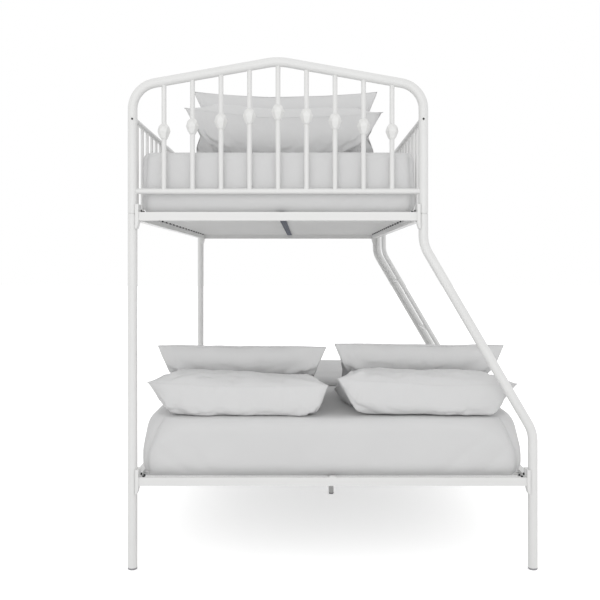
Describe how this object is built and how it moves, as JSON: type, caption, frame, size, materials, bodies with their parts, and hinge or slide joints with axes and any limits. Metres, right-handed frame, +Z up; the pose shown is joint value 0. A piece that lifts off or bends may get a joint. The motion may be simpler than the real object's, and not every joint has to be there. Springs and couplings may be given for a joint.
{
  "type": "bunk bed",
  "caption": "Metal twin over full bunk bed with arched spindle ends, guard rails, a leaning ladder, mattresses and pillows",
  "frame": {"origin": "on the floor, in the middle of the bed's overall box", "axes": "+X towards the side with the ladder, +Y from the head end (pillows) to the foot end, +Z up"},
  "size_m": [1.478, 1.9872, 1.829],
  "materials": {
    "white_frame": "satin powder coat",
    "white_casting": "satin powder coat on a faceted casting",
    "grey_plastic": "matte moulded",
    "dark_plastic": "matte moulded",
    "black_bolt": "black oxide",
    "zinc_bolt": "bright zinc",
    "steel_spigot": "plain drawn tube",
    "dark_strap": "woven webbing",
    "mattress_sheet": "cotton fitted sheet",
    "pillow_case": "cotton pillow case",
    "throw_cloth": "plain cotton"
  },
  "bodies": {
    "root": {"arch_foot": "white_frame", "arch_head": "white_frame", "castings_foot": "white_casting", "castings_head": "white_casting", "centre_leg": "white_frame", "centre_leg_foot": "grey_plastic", "centre_rail": "white_frame", "centre_rail_hooks": "white_frame", "crossbar_foot": "white_frame", "crossbar_head": "white_frame", "folded_throw": "throw_cloth", "guard_bars_left": "white_frame", "guard_bars_right": "white_frame", "guard_bolts": "black_bolt", "guard_top_left": "white_frame", "guard_top_right": "white_frame", "ladder_bolts": "zinc_bolt", "ladder_feet": "grey_plastic", "ladder_rail_foot": "white_frame", "ladder_rail_head": "white_frame", "ladder_rungs": "white_frame", "ladder_top_caps": "grey_plastic", "lower_corner_brackets": "white_frame", "lower_end_rail_foot": "white_frame", "lower_end_rail_head": "white_frame", "lower_mattress": "mattress_sheet", "lower_pillow_back_left": "pillow_case", "lower_pillow_back_right": "pillow_case", "lower_pillow_front_left": "pillow_case", "lower_pillow_front_right": "pillow_case", "lower_rail_bolts": "black_bolt", "lower_rail_screws": "black_bolt", "lower_side_rail_left": "white_frame", "lower_side_rail_right": "white_frame", "lower_slat_caps": "dark_plastic", "lower_slats_left": "white_frame", "lower_slats_right": "white_frame", "post_feet": "grey_plastic", "post_lower_left_foot": "white_frame", "post_lower_left_head": "white_frame", "post_lower_right_foot": "white_frame", "post_lower_right_head": "white_frame", "post_spigots": "steel_spigot", "spindles_foot": "white_frame", "spindles_head": "white_frame", "upper_corner_brackets": "white_frame", "upper_end_rail_foot": "white_frame", "upper_end_rail_head": "white_frame", "upper_mattress": "mattress_sheet", "upper_pillow_back": "pillow_case", "upper_pillow_front": "pillow_case", "upper_rail_bolts": "black_bolt", "upper_rail_screws": "black_bolt", "upper_side_rail_left": "white_frame", "upper_side_rail_right": "white_frame", "upper_slat_caps": "dark_plastic", "upper_slat_strap": "dark_strap", "upper_slats": "white_frame"}
  },
  "joints": []
}
